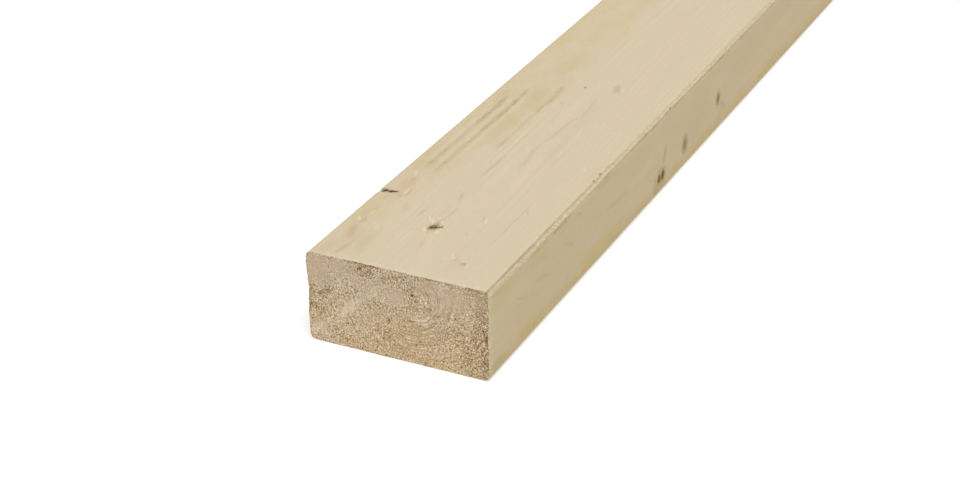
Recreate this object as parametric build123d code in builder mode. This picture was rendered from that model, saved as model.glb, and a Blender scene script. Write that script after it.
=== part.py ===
from build123d import *
import os

# Timber plank: one length of planed softwood framing stock, 90 x 45 mm.
# It lies on a wide face with its length along X, and its origin is the middle of that face.
# The sawn end at -X is the one to look at: right is -Y and left is +Y, seen from there.

# Stock size
length = 2400.0
width = 90.0
thickness = 45.0

# Radii of the four eased arrises
upper_right_arris = 2.5
upper_left_arris = 3.0
lower_left_arris = 4.0
lower_right_arris = 3.0

# Split that opens through the upper left arris and runs out to a point on the top face
split_from_end = 66.5
split_mouth_width = 3.8
split_mouth_depth = 8.0
split_near_bulge = 0.5
split_far_bulge = 0.7
split_reach = 14.5
split_drift = 1.0

# Checks are the short open cracks at the hearts of the knots
check_overrun = 0.5

# Knot in the top face, placed from the sawn end and from the middle of the width
top_knot_from_end = 43.0
top_knot_off_centre = 3.0
top_check_length = 5.6
top_check_width = 1.7
top_check_depth = 2.0
top_check_turn = -53.0

# Knots in the right edge, placed from the sawn end and up from the bottom face
edge_check_width = 1.5
edge_check_depth = 2.5
edge_check_turn = 78.0
double_check_gap = 4.8
double_knot_from_end = 199.0
double_knot_height = 9.8
double_check_length = 5.0
second_knot_from_end = 232.0
second_knot_height = 13.5
third_knot_from_end = 281.0
third_knot_height = 18.8
small_check_length = 4.2

sawn_end = -length / 2


def eased_section():
    """Cross-section of the stock, with a radius of its own on each arris."""
    with BuildSketch(Plane.YZ.offset(sawn_end), mode=Mode.PRIVATE) as section:
        Rectangle(width, thickness, align=(Align.CENTER, Align.MIN))
        corner_radii = (
            (-1, 0, lower_right_arris),
            (1, 0, lower_left_arris),
            (1, 1, upper_left_arris),
            (-1, 1, upper_right_arris),
        )
        for side, level, radius in corner_radii:
            corner = Vector(side * width / 2, level * thickness)
            fillet(section.vertices().sort_by_distance(corner)[0], radius=radius)
    return section.sketch


def cut_split():
    """Wedge with its open mouth on the left edge, lofted to a point on the top face."""
    overrun = split_mouth_width / 2
    left_edge = Plane.XZ.offset(-width / 2 - overrun)
    centre = sawn_end + split_from_end
    half_mouth = split_mouth_width / 2
    root = thickness - split_mouth_depth
    belly = thickness - split_mouth_depth / 2
    with BuildSketch(left_edge, mode=Mode.PRIVATE) as mouth:
        with BuildLine():
            brow = Line(
                (centre - half_mouth, thickness + overrun),
                (centre + half_mouth, thickness + overrun),
            )
            far_belly = (centre + split_far_bulge * half_mouth, belly)
            near_belly = (centre - split_near_bulge * half_mouth, belly)
            ThreePointArc(brow @ 1, far_belly, (centre, root))
            ThreePointArc((centre, root), near_belly, brow @ 0)
        make_face()
    tip = Vertex(centre + split_drift, width / 2 - split_reach, thickness)
    loft(sections=[mouth.sketch, tip], mode=Mode.SUBTRACT)


def cut_check(face, long, wide, deep):
    """Lens-shaped crack along the face's X, lofted down to a point in the knot's heart."""
    above = face.offset(check_overrun)
    share = 1 + check_overrun / deep
    half_long = share * long / 2
    half_wide = share * wide / 2
    with BuildSketch(above, mode=Mode.PRIVATE) as lens:
        with BuildLine():
            ThreePointArc((-half_long, 0), (0, half_wide), (half_long, 0))
            ThreePointArc((half_long, 0), (0, -half_wide), (-half_long, 0))
        make_face()
    bottom = Vertex(*face.offset(-deep).origin)
    loft(sections=[lens.sketch, bottom], mode=Mode.SUBTRACT)


def cut_top_knot():
    """Check of the knot in the top face."""
    heart = (sawn_end + top_knot_from_end, top_knot_off_centre, thickness)
    along = Vector(1, 0, 0).rotate(Axis.Z, top_check_turn)
    face = Plane(heart, x_dir=along, z_dir=(0, 0, 1))
    cut_check(face, top_check_length, top_check_width, top_check_depth)


def cut_edge_knots():
    """Checks of the three knots in the right edge; the first knot has two side by side."""
    half_gap = double_check_gap / 2
    along = Vector(1, 0, 0).rotate(Axis.Y, -edge_check_turn)
    edge_checks = (
        (double_knot_from_end - half_gap, double_knot_height, double_check_length),
        (double_knot_from_end + half_gap, double_knot_height, double_check_length),
        (second_knot_from_end, second_knot_height, small_check_length),
        (third_knot_from_end, third_knot_height, small_check_length),
    )
    for from_end, height, check_length in edge_checks:
        heart = (sawn_end + from_end, -width / 2, height)
        face = Plane(heart, x_dir=along, z_dir=(0, -1, 0))
        cut_check(face, check_length, edge_check_width, edge_check_depth)


with BuildPart() as plank:
    extrude(eased_section(), amount=length)
    cut_split()
    cut_top_knot()
    cut_edge_knots()

plank.part.label = "plank"
os.makedirs("parts", exist_ok=True)
export_step(plank.part, "parts/plank.step")
print("plank", plank.part.bounding_box(), "volume", round(plank.part.volume))
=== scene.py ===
import functools
import math

import bpy
import numpy as np
from mathutils import Matrix, Vector


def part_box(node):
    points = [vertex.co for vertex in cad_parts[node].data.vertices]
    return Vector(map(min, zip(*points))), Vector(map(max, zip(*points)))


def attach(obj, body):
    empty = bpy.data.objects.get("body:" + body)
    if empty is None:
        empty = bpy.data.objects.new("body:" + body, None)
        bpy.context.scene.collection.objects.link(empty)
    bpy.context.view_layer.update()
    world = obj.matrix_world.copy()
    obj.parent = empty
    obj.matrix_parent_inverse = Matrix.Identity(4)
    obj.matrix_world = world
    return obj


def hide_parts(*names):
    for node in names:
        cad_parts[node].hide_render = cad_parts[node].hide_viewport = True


# One length of planed softwood framing stock on a pale floor.
# Lengths are in millimetres here, and a place on the plank is given in three numbers:
# along, from the sawn end in front, across, from the middle to the left, and up, from the floor.
MM = 0.001

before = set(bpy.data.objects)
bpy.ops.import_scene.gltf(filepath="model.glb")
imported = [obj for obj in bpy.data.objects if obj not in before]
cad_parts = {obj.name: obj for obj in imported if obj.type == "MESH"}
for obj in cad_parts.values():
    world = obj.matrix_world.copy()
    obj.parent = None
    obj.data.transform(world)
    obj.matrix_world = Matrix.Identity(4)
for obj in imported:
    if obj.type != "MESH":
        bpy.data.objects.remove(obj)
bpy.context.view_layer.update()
low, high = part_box("plank")
LENGTH = (high.x - low.x) / MM
WIDTH = (high.y - low.y) / MM
THICKNESS = (high.z - low.z) / MM
SAWN_END = low.x / MM

# Camera, fitted to the corners and long edges of the plank in the photograph.
# The place is that of the front end's middle on the floor, seen from the camera.
CAMERA_AZIMUTH = -63.28
CAMERA_ELEVATION = 28.398
CAMERA_ROLL = -1.092
CAMERA_LENS = 76.397
END_SEEN_RIGHT = -36.18
END_SEEN_UP = -48.86
END_SEEN_AHEAD = 900.95

# The floor in metres and its tones, and the light: the world's strength and what the camera sees of it
FLOOR_SIZE = 60
FLOOR_TONE = 0.8
FLOOR_GLOW = 0.35
WORLD_LIGHT = 0.5
WORLD_SEEN = 1.0
LAMP_ENERGY = 1.6
LAMP_ANGLE = math.radians(40)
LAMP_WAY = (0.35, 0.25, -1)

# Arrises in the order lower right, lower left, upper left and upper right: place and radius
ARRIS_PLACE = ((-1, 0), (1, 0), (1, 1), (-1, 1))
ARRIS_RADIUS = (3.0, 4.0, 3.0, 2.5)

# Spacing of the mesh's columns
FINE_STEP = 0.36
CAP_STEP = 0.66
ARRIS_STEP = 0.72
FAR_ARRIS_STEP = 0.8
SPLIT_STEP = 0.9
FACE_STEP = 2.7
FAR_FACE_STEP = 10.0

# Where the columns are close together: by an arris, the split and the knots
FINE_MARGIN = 6.0
FINE_FADE = 3.0
SPLIT_MARGIN = 1.5
TOP_KNOT_REACH = 4.5
EDGE_KNOTS_LOW = 6.5
EDGE_KNOTS_HIGH = 22.5

# Spacing of the mesh's rings: the least, its growth, and the distances where that starts and ends
NEAR_ROWS = (1.7, 1.6, 120, 400)
END_ROWS = (1.0, 1.5, 3, 30)
SPLIT_ROWS = (0.4, 2.5, 3.2, 8)
CHECK_ROWS = (0.45, 2.5, 3, 8)
FAR_ROWS = (6, 22, 0, 150)
BACK_ROWS = (2, 26, 0, 60)

# Rings next to an end, length of the part with a finer mesh, and size of the random table
RAGGED_ROWS = (0.0, 0.35, 0.8, 1.5, 2.6)
NEAR_LENGTH = 520.0
LATTICE = 256

# Layout of the texture map that the materials are baked through, in shares of its width.
# A strip of it is given by the stretch that it holds, from and to, its left side and its width.
MAP_EDGE = 0.004
MAP_NEAR = (0, NEAR_LENGTH, 0.006, 0.435)
MAP_FAR = (NEAR_LENGTH, LENGTH, 0.449, 0.405)
MAP_END_LEFT = 0.862
MAP_END_SCALE = 0.0029
MAP_BACK_LOW = 0.5

# Material slots of the plank
LONG_SIDES, ENDS = range(2)

# How far torn fibres stand back, on each arris and round the ends
ARRIS_TORN = (0.12, 0.12, 0.14, 0.3)
ARRIS_SHIFT = (0, 0, 0, 1.3)
END_RAGGED = 0.45

# Growth of the stem that the plank was sawn from: its pith at the sawn end, and its rings
PITH_ACROSS = -8.3
PITH_UP = 34.3
RING_WIDTH = 2.6

# Pits torn in the front end: across, up, radius and depth
END_PITS = (
    (17.7, 41.8, 1.4, 0.9), (16.5, 38.4, 1.2, 0.8), (15, 43.4, 1.2, 0.4), (11.8, 43.8, 1.2, 0.4),
    (12.2, 40.9, 1.1, 0.5), (4.3, 18.6, 1.4, 0.8), (19.2, 20.3, 0.9, 0.5), (34.6, 27, 1.5, 0.5),
    (38.5, 24.5, 1.6, 0.5), (37.5, 17, 1.6, 0.4), (43.6, 18, 1.5, 0.6), (-34.8, 14.2, 0.9, 0.7),
    (-42.4, 24.5, 1, 0.7), (-43.3, 20.5, 1.2, 0.6), (-39, 16, 1.2, 0.5), (-42.5, 9, 1.2, 0.6),
    (-39.5, 31.5, 1.2, 0.4), (-15, 29.4, 0.9, 0.5), (-7.9, 34.3, 0.8, 1),
)

# Chips off the front end's rim: across, up, reach and how far the rim moves inwards
END_CHIPS = ((45, 26.5, 6, 0.8), (45, 18, 3, 0.3), (-45, 22, 3.5, 0.7), (-45, 12, 2.6, 0.4))

# Calmer and rougher patches of the front end: across, up, half sizes, strength and any lean
END_CALM = (
    (40, 38, 12, 12, 0.75), (27, 41, 11, 5, 0.6), (0.4, 31.5, 5.5, 6, 0.85), (-16, 40, 10, 7, 0.5),
    (-41, 39, 8, 9, 0.35), (-27, 37, 12, 10, 0.6), (-22, 30, 7, 6, 0.4), (20.5, 34, 2.4, 5, 0.7),
    (24, 20.5, 7, 3.4, 0.7, -43), (16, 28, 12, 3, 0.5, -43), (39, 9, 7, 4.5, 0.6, -25),
    (12, 33, 9, 4, 0.35, -40), (8, 23, 3.6, 3.6, 0.4),
)
END_ROUGH = (
    (-43, 15, 6, 17, 0.8), (39, 20, 7, 8, 0.6), (15, 41.5, 6, 4, 0.8), (-36, 14, 10, 14, 0.5),
    (4, 20, 5, 4, 0.4), (20, 8, 22, 7, 0.2),
)
END_DARKENED = (
    (34.4, 27.5, 3, 4.5, 0.9), (43.3, 25, 2, 5, 0.8), (40, 23, 9, 8, 0.42), (38, 17, 4.5, 2.2, 0.4),
    (17, 41, 10, 6, 0.42), (-4, 40, 13, 7, 0.4), (-11, 31, 6, 7, 0.25), (-21, 20, 9, 9, 0.25),
    (-43, 24, 9, 34, 0.72), (-38, 9, 9, 12, 0.4), (0, 5, 9, 6, 0.2), (-41, 41, 7, 7, 0.65),
    (-40, 4, 8, 5, 0.4), (-43, 4, 3, 5, 0.4), (44, 18, 1.6, 5, 0.4),
)
END_OCHRE = (
    (3, 9, 14, 10, 0.4), (-10, 4, 18, 5, 0.5), (-33, 20, 10, 10, 0.45), (-37, 10, 12, 10, 0.6),
    (22, 6, 22, 7, 0.2), (-43, 22, 9, 28, 0.5), (-11, 30, 10, 10, 0.35), (0, 41, 9, 6, 0.3),
    (40, 24, 8, 7, 0.3),
)
END_PINK = (
    (0.4, 31.5, 6, 6, 0.7), (-19.5, 37, 4, 6, 0.55), (-35.5, 34.5, 4.5, 4, 0.5), (-21, 8.5, 6, 5, 0.5),
    (36, 39, 5, 6, 0.6), (20.5, 34, 3, 7, 0.5), (26, 8, 8, 6, 0.35), (33, 12, 6, 4, 0.5, -30),
    (38, 5, 12, 9, 0.6), (18, 14, 12, 8, 0.35, -40),
)
END_GREEN = (
    (-43.5, 40, 3, 7, 0.6), (8, 23.5, 4.5, 5, 0.6), (-17.5, 19.5, 3.5, 4.5, 0.6), (22, 17, 6, 3, 0.4),
    (3, 36.5, 3.5, 2.5, 0.5), (-33, 24, 6, 4, 0.4), (-42.5, 6, 4, 6, 0.5), (43.8, 18, 1.6, 5, 0.7),
)
END_BAND = (
    (41, 6.5, 9, 3.2, 0.9, -36), (24, 20.5, 13, 3.6, 1, -43), (12, 31, 11, 2.8, 0.6, -43),
    (33, 13, 8, 4, 0.4, -40),
)

# Light arcs of growth rings round the pith: radius, half width, and strength
END_ARCS = ((4.4, 0.2, 0.3), (6.6, 0.2, 0.4), (9.4, 0.3, 0.4), (12, 0.4, 0.75), (14.3, 0.35, 0.6))
ARCS_SEEN = ((-13, 23.5, 8.5, 5, 1, 12), (-14, 33, 6, 8, 0.5), (-22, 28, 4, 5, 0.5))
STREAKS_SEEN = (
    (-17, 33, 9, 12, 0.9), (-12, 21, 14, 6, 0.85), (-6, 12, 17, 7, 0.75, -8), (-27, 33, 8, 10, 0.5),
)

# Dark broken line of painted shade along the rim of the front end
END_RIM_SHADE = (
    (20, 44.6, 8, 0.8, 0.8), (11, 44.5, 5, 0.9, 0.7), (-1, 44.6, 6, 0.5, 0.4), (-17, 44.4, 5, 0.8, 0.8),
    (-26, 44.2, 2.6, 1.1, 0.7), (-36, 44, 7, 0.9, 0.4), (-43.9, 21.5, 0.9, 4, 0.9),
    (-43.9, 8, 0.8, 6, 0.5), (44.2, 17, 0.8, 5, 0.6),
)

# Growing spot of the pith and the brown ring round it
PITH_DOT = ((-7.8, 34.5, 0.95, 1.3, 1),)
PITH_RING = (
    (-7.2, 33.6, 2.6, 3.4, 0.25), (-7.9, 29.2, 1.5, 0.7, 0.45), (-14.8, 29.5, 0.7, 2, 0.8, -35),
)

# Colours of the wood, as linear red, green and blue
WIDE_FACE = (0.731, 0.613, 0.430)
NARROW_EDGE = (0.678, 0.534, 0.316)
WARM_TONE = (0.70, 0.545, 0.375)
YELLOWED = (0.69, 0.545, 0.30)
LATEWOOD = (0.52, 0.40, 0.23)
GRAIN_LINE = (0.45, 0.34, 0.19)
# Dark grain lines of the right edge, also used for the painted shade under the upper right arris
EDGE_LINE_AND_SHADE = (0.44, 0.33, 0.18)
PALE_FIBRE = (0.82, 0.71, 0.52)
STAIN_GREEN = (0.58, 0.50, 0.16)
STAIN_ORANGE = (0.70, 0.45, 0.20)
PINKISH = (0.665, 0.49, 0.315)
GREENISH = (0.60, 0.52, 0.29)
EDGE_WARM = (0.665, 0.487, 0.285)
ARRIS_LIGHT = (0.80, 0.675, 0.45)
ARRIS_DARK = (0.53, 0.43, 0.24)
ARRIS_LINE = (0.36, 0.28, 0.14)
KNOT_HALO = (0.43, 0.305, 0.10)
KNOT_HEART = (0.17, 0.105, 0.02)
KNOT_WOOD = (0.43, 0.27, 0.115)
# Dark wood inside the cracks, with painted shade
CRACK_DARK_AND_SHADE = (0.075, 0.047, 0.016)
END_UPPER_TONE = (0.630, 0.479, 0.307)
END_LOWER_TONE = (0.638, 0.462, 0.256)
END_BROWN = (0.38, 0.25, 0.12)
END_OCHRE_TONE = (0.59, 0.395, 0.17)
END_PINK_TONE = (0.68, 0.50, 0.36)
END_GREEN_TONE = (0.52, 0.44, 0.21)
END_PALE = (0.84, 0.69, 0.51)
END_RING = (0.46, 0.32, 0.17)
# Fibre tips and pits of the end grain: their own colours, with painted highlight and painted shade in them
FIBRE_TIP_AND_HIGHLIGHT = (1.0, 0.855, 0.655)
FIBRE_PIT_AND_SHADE = (0.20, 0.10, 0.004)
# Dark pith, and the painted shade in the torn pits of the end
END_DARK_AND_PIT_SHADE = (0.14, 0.075, 0.015)

# Strip of torn fibres on the upper right arris, by how much further in a point is than down
ARRIS_LINE_LEAN = 0.45
STRIP_HIGH = 0.3
STRIP_LOW = -3.2
STRIP_LOW_RISE = 1.4

# Soft-edged marks: along, then across or up, half length, half width, strength, any lean in degrees
ARRIS_BITES = (
    (91, 1, 2, 0.6, 0.6), (115.8, 1.3, 1.8, 1.1, 1, 12), (119.5, 0.6, 1.6, 0.6, 0.6, -10),
    (123.8, 1.2, 2, 1.2, 1, -8), (133, 0.8, 2.4, 0.6, 0.6), (205, -2.4, 2.6, 0.9, 0.8, -8),
    (210, -1.6, 2.4, 1, 0.9, -8), (218, -2.8, 6, 0.8, 0.5, -4),
)
TOP_LINES = (
    (9, 31, 7, 1.1, 0.5, -8), (19, 30.2, 9, 0.8, 0.25), (25, 34.6, 9, 2.4, 0.35, 18),
    (29, 36, 4, 2, 0.25), (36.5, 35.4, 5, 2.2, 0.5), (50, 36.2, 4, 1.2, 0.35, 10),
    (61, 37.5, 3, 1.6, 0.25, 10), (32, 24.6, 5, 0.9, 0.3, 20), (55, 24, 7, 2.4, 0.22, 8),
    (54, 14.6, 7, 1.1, 0.4, -6), (27, 0.8, 6, 1.2, 0.25, 10), (57, 2.4, 12, 0.9, 0.35, -3),
    (75, 5.6, 6, 1.6, 0.35, 14), (43, -13.6, 3, 0.9, 0.3, 35), (59, -13.6, 5, 0.7, 0.45),
    (17.6, -24.5, 2.6, 2, 1), (20, -20, 2, 4.4, 0.25, -20), (62, -27.4, 32, 0.6, 0.4),
    (74, -29, 5, 0.8, 0.3, 25), (69, 29.6, 5, 1, 0.4, 4), (84, 34.6, 8, 1.2, 0.4, 4),
    (101, 35, 9, 1.3, 0.3, 2), (115, 35, 9, 1.3, 0.3), (160, 34.4, 12, 2.2, 0.5),
    (177, 34.6, 14, 2.2, 0.45), (101, 29, 10, 1.2, 0.3), (149, 28.4, 10, 1.8, 0.4),
    (167, 27.9, 16, 2.2, 0.45), (181, 27.8, 8, 2.6, 0.6), (193, 28.6, 10, 1.8, 0.3, 4),
    (134, 12.8, 9, 1.4, 0.25), (178, 12.9, 8, 1.6, 0.4, 4), (192, 12.1, 12, 1.8, 0.35, -3),
    (204, 13.6, 8, 2.8, 0.4, 6), (112, 5.7, 16, 1, 0.3, -2), (145, 6.2, 8, 0.8, 0.3, 3),
    (128, -5.6, 20, 1.8, 0.35, 4), (160, -6.4, 22, 1.8, 0.35, -6), (190, -9, 20, 1.8, 0.25, 5),
    (144, -14.6, 1.2, 1.2, 0.4), (217, -13, 8, 2.6, 0.6, 14), (189, 5.6, 4, 0.7, 0.4, 35),
    (112, 8.6, 3, 0.8, 0.3, 25),
)

# Turn of the slanting figure: it rises to the left on the top face and falls on the right edge
FIGURE_LEAN = (0, math.radians(24.5), math.radians(24.2))

# Long torn ribbons of grain on the top face: from, to, across, half width and strength
DARK_RIBBONS = (
    (90, 190, 34.7, 1.3, 0.34), (90, 202, 28.5, 1.3, 0.34), (122, 212, 12.8, 1.3, 0.25),
    (94, 125, 6, 0.8, 0.2),
)
PALE_RIBBONS = (
    (96, 192, 31.5, 1.3, 0.35), (104, 196, 25.8, 1.2, 0.3), (98, 160, 37.2, 1, 0.35),
    (104, 160, 8.2, 0.8, 0.2),
)
TOP_FLECKS = (
    (23, -16, 5, 0.6, 0.5, 25), (19, -15, 0.7, 3, 0.4, 10), (17, -26.8, 2.8, 0.9, 0.6),
    (21, -17.5, 1.4, 2.4, 0.5, 10), (58, -15.8, 3.5, 1.2, 0.5, 10), (39.5, 5.8, 4, 0.9, 0.8, 22),
    (48, 6, 4.5, 1, 0.9, 28), (50.5, 9, 3, 0.7, 0.8, 30), (39.5, -0.6, 2.6, 1.2, 0.9, 15),
    (37.5, 2, 2.4, 0.7, 0.8, 15), (48, 1.4, 3, 0.9, 0.6, 20), (52, 4.6, 2.4, 0.6, 0.7, 15),
    (37, 38.2, 3, 1.2, 0.6, 20), (44, 34.6, 3, 0.8, 0.4), (33, 26.4, 4, 1.6, 0.35, 30),
    (70, 31, 5, 0.9, 0.5, 10), (88, 36, 5, 1, 0.4, 25), (133, 30.8, 5, 1, 0.4, 10),
    (160, -16.4, 8, 0.8, 0.3, 3), (125, -34.8, 4, 0.9, 0.45, 14), (136, -17.6, 6, 0.8, 0.3, 6),
    (110, 8.5, 4, 0.8, 0.3, 20), (217, -15.6, 5, 0.9, 0.5, 18),
)
TOP_PINK = (
    (23, 34.5, 14, 5.5, 0.75, 12), (10, 31, 14, 3, 0.6, -4), (9, 37.5, 12, 5, 0.45),
    (20, 29.5, 14, 2.4, 0.3), (62, 37.5, 7, 4, 0.5, 20), (78, 34.5, 14, 5, 0.7),
    (70, 29.5, 7, 1.6, 0.4), (104, 33.5, 10, 3, 0.4), (146, 38, 6, 3.2, 0.6), (183, 14.5, 12, 2.5, 0.4),
    (138, 14, 14, 2, 0.3),
)
TOP_GREEN = (
    (40, 38.5, 12, 4, 0.4), (60, 33, 12, 2.4, 0.25), (96, 38, 12, 4, 0.35), (118, 39.5, 14, 3, 0.4),
    (17, 24.5, 20, 5, 0.5, 5), (150, 21, 30, 7, 0.5), (190, 21, 20, 7, 0.6), (153, 40.5, 6, 2, 0.7),
    (185, 37.5, 16, 4, 0.5), (170, 31, 30, 2.4, 0.3), (150, -13, 50, 6, 0.2),
)
# Dark grain lines of the right edge; the mark at 128 along and 40 up is a band of painted shade under the
# upper right arris
EDGE_LINES_AND_SHADE = (
    (96, 36.8, 6, 1, 0.35, -20), (57, 33.4, 7, 1, 0.18, -24), (86, 26, 10, 1.2, 0.2, -28),
    (33, 25, 8, 1.3, 0.18, -24), (56, 24.2, 12, 2, 0.18, -12), (8, 5, 14, 5, 0.35),
    (142, 22.6, 26, 2.2, 0.2, -5), (128, 40, 24, 2.4, 0.25, -4), (185, 14, 9, 1.2, 0.2, -30),
    (288, 13.5, 7, 1.2, 0.2, -35),
)
EDGE_PINK = (
    (32, 37.5, 12, 3, 0.35), (110, 30, 26, 7, 0.15, -10), (215, 33, 22, 12, 0.35),
    (208, 7, 7, 4, 0.6, 20), (240, 7, 8, 3.5, 0.5), (288, 18, 12, 9, 0.45), (246, 18, 20, 12, 0.4, -15),
    (66, 7.5, 6, 3, 0.5), (88, 6, 9, 3.5, 0.6),
)
EDGE_GREEN = (
    (12, 36, 20, 9, 0.3), (52, 36, 14, 7, 0.3), (78, 38.5, 10, 4, 0.3), (120, 9, 34, 5, 0.6),
    (40, 5, 16, 3, 0.4), (165, 37, 16, 7, 0.3), (255, 27, 20, 12, 0.35, -20), (170, 5, 12, 3, 0.5),
    (258, 6, 12, 3, 0.5),
)
TOP_HALOS = (
    (43.6, 3, 5.4, 3.4, 0.7, 10), (38.5, 3.2, 4, 0.8, 0.35, 20), (48.8, 3.6, 4.6, 0.8, 0.35, 10),
    (67, 38, 3, 7, 0.45), (64.5, 32, 3, 1.6, 0.3),
)
TOP_HEARTS = (
    (43, 3.6, 3, 2.6, 1, -20), (44.6, 0.6, 1.7, 1.4, 1, 20), (46.8, 2.6, 2.4, 0.8, 0.5, 15),
    (40.2, 4, 2.4, 0.8, 0.5, -15), (67.4, 34.4, 0.7, 2, 0.5), (212.8, 3, 1.6, 1, 0.7, 10),
)
EDGE_HALOS = (
    (199, 9.5, 9.5, 8.4, 0.66), (193, 6.5, 5.5, 8, 0.45, 20), (203.8, 19.5, 3.2, 9, 0.4, -15),
    (232.3, 13.5, 6.4, 8.4, 0.8), (281, 19.3, 5.2, 6.8, 0.8), (288, 13, 9, 4, 0.2, -35),
)
EDGE_HEARTS = (
    (196.8, 9.2, 3.2, 3.4, 0.95), (201.9, 9.8, 3.6, 4.4, 0.95, -10), (232.4, 13.2, 2.8, 4.8, 0.28, -10),
    (281.2, 19.6, 3.2, 4.2, 0.42),
)

# Knots in the part of the plank that the photograph leaves out, and their growth rings in radians
KNOT_RINGS = 48.0
TOP_KNOTS = (
    (640, 22, 15, 10, 0.9, 12), (1310, -18, 19, 12, 1, -6), (1800, 15, 14, 10, 0.9, 8),
    (2190, -25, 9, 7, 0.8),
)
BOTTOM_KNOTS = (
    (312, 14, 16, 11, 0.9, 8), (905, -20, 20, 13, 1, -5), (1340, 24, 11, 8, 0.8),
    (1795, 4, 18, 12, 1, 10),
)
RIGHT_KNOTS = ((655, 14, 10, 8, 0.9, 20), (1300, 28, 12, 9, 0.9, -15), (1810, 20, 9, 7, 0.8, 10))
LEFT_KNOTS = (
    (305, 25, 9, 7, 0.8), (880, 16, 12, 9, 0.9, 20), (1350, 30, 8, 6, 0.8), (1780, 20, 11, 9, 0.9, -15),
)

# Split through the upper left arris
SPLIT_ALONG = 66.7
SPLIT_HALF_WIDTH = 3.1
SPLIT_DRIFT = 0.9
SPLIT_LOW = 37.0
SPLIT_REACH = 35.0
SPLIT_BRIDGE = 39.7

# Checks at the hearts of the knots: along, place on the face, length, width, depth and lean
TOP_CHECKS = ((43, 3, 5.6, 1.7, 2, -53),)
EDGE_CHECKS = (
    (196.6, 9.8, 5, 1.5, 2.5, 78), (201.4, 9.8, 5, 1.5, 2.5, 78), (232, 13.5, 4.2, 1.5, 2.5, 78),
    (281, 18.8, 4.2, 1.5, 2.5, 78),
)


def smooth(low_edge, high_edge, value):
    """A smooth step from 0 at low_edge to 1 at high_edge, which may be the lower of the two."""
    share = np.clip((value - low_edge) / (high_edge - low_edge), 0, 1)
    return share * share * (3 - 2 * share)


def spaced(length, step_at):
    """Places from 0 to length, with gaps of about step_at(place)."""
    fine = np.linspace(0, length, 20001)
    density = 1 / step_at(fine)
    steps = (density[1:] + density[:-1]) / 2 * np.diff(fine)
    count = np.concatenate([[0], np.cumsum(steps)])
    return np.interp(np.linspace(0, count[-1], math.ceil(count[-1]) + 1), count, fine)


def rough(u, v, u_step, v_step, seed):
    """Smooth random values from -1 to 1 over the plane (u, v), with bumps of the two sizes."""
    lattice = np.random.default_rng(seed).uniform(-1, 1, (LATTICE, LATTICE))
    u, v = np.broadcast_arrays(u / u_step, v / v_step)
    i = np.floor(u).astype(int)
    j = np.floor(v).astype(int)
    a = smooth(0, 1, u - i)
    b = smooth(0, 1, v - j)

    def line(i):
        return lattice[i % LATTICE, j % LATTICE] * (1 - b) + lattice[i % LATTICE, (j + 1) % LATTICE] * b

    return line(i) * (1 - a) + line(i + 1) * a


class Side:
    """One side of the cross-section, from the middle of one arris to the middle of the next."""

    WAYS = ((1, 0), (0, 1), (-1, 0), (0, -1))

    def __init__(self, number):
        following = (number + 1) % 4
        self.way = np.array(self.WAYS[number])
        self.outward = np.array([self.way[1], -self.way[0]])
        self.first = ARRIS_RADIUS[number]
        self.last = ARRIS_RADIUS[following]
        side, level = ARRIS_PLACE[number]
        self.start = np.array([side * WIDTH / 2, level * THICKNESS])
        self.across = WIDTH if number in (0, 2) else THICKNESS
        self.flat = self.across - self.first - self.last
        self.length = self.flat + math.pi / 4 * (self.first + self.last)

    def at(self, share):
        """Points and outward directions at these shares of the side's length."""
        place = share * self.length
        into_flat = place - math.pi / 4 * self.first
        past_flat = into_flat - self.flat
        turn = np.minimum(into_flat / self.first, 0) + np.maximum(past_flat / self.last, 0)
        radius = np.where(turn < 0, self.first, self.last)
        centre = np.where(turn < 0, self.first, self.across - self.last)
        flat_place = self.first + np.clip(into_flat, 0, self.flat)
        forward = np.where(turn == 0, flat_place, centre + radius * np.sin(turn))
        inward = radius * (1 - np.cos(turn))
        points = self.start + forward[:, None] * self.way - inward[:, None] * self.outward
        directions = np.sin(turn)[:, None] * self.way + np.cos(turn)[:, None] * self.outward
        return points, directions


def cap_shares(side_length):
    """Shares of a side's length at which the end's grid has its lines, finer by the arrises."""

    def step_at(place):
        from_arris = np.minimum(place, side_length - place)
        coarse = smooth(FINE_MARGIN, FINE_MARGIN + FINE_FADE, from_arris)
        return FINE_STEP + (CAP_STEP - FINE_STEP) * coarse

    return spaced(side_length, step_at) / side_length


def end_grid():
    """Grid of points over the cross-section, one row for each level, from right to left."""
    bottom, left, top, right = (Side(number) for number in range(4))
    u = cap_shares(top.length)
    v = cap_shares(right.length)
    low_line = bottom.at(u)[0][None, :]
    high_line = top.at(1 - u)[0][None, :]
    right_line = right.at(1 - v)[0][:, None]
    left_line = left.at(v)[0][:, None]
    u, v = u[None, :, None], v[:, None, None]
    corners = (
        (1 - u) * (1 - v) * low_line[:, :1]
        + u * (1 - v) * low_line[:, -1:]
        + (1 - u) * v * high_line[:, :1]
        + u * v * high_line[:, -1:]
    )
    return (1 - v) * low_line + v * high_line + (1 - u) * right_line + u * left_line - corners


def ring():
    """Points, outward directions and distances round the cross-section, in the grid's own steps."""
    u = cap_shares(Side(2).length)
    v = cap_shares(Side(3).length)
    points, directions = [], []
    for number, shares in enumerate((u, v, (1 - u)[::-1], (1 - v)[::-1])):
        some_points, some_directions = Side(number).at(shares[:-1])
        points.append(some_points)
        directions.append(some_directions)
    points = np.concatenate(points)
    gaps = np.linalg.norm(np.roll(points, -1, 0) - points, axis=1)
    round_it = np.concatenate([[0], np.cumsum(gaps)])
    return points, np.concatenate(directions), round_it


def grid_rim(rows, columns):
    """Numbers of the grid's points round its rim, in the ring's order."""
    number = np.arange(rows * columns).reshape(rows, columns)
    return np.concatenate(
        [number[0, :-1], number[:-1, -1], number[-1, :0:-1], number[:0:-1, 0]]
    )


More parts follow.
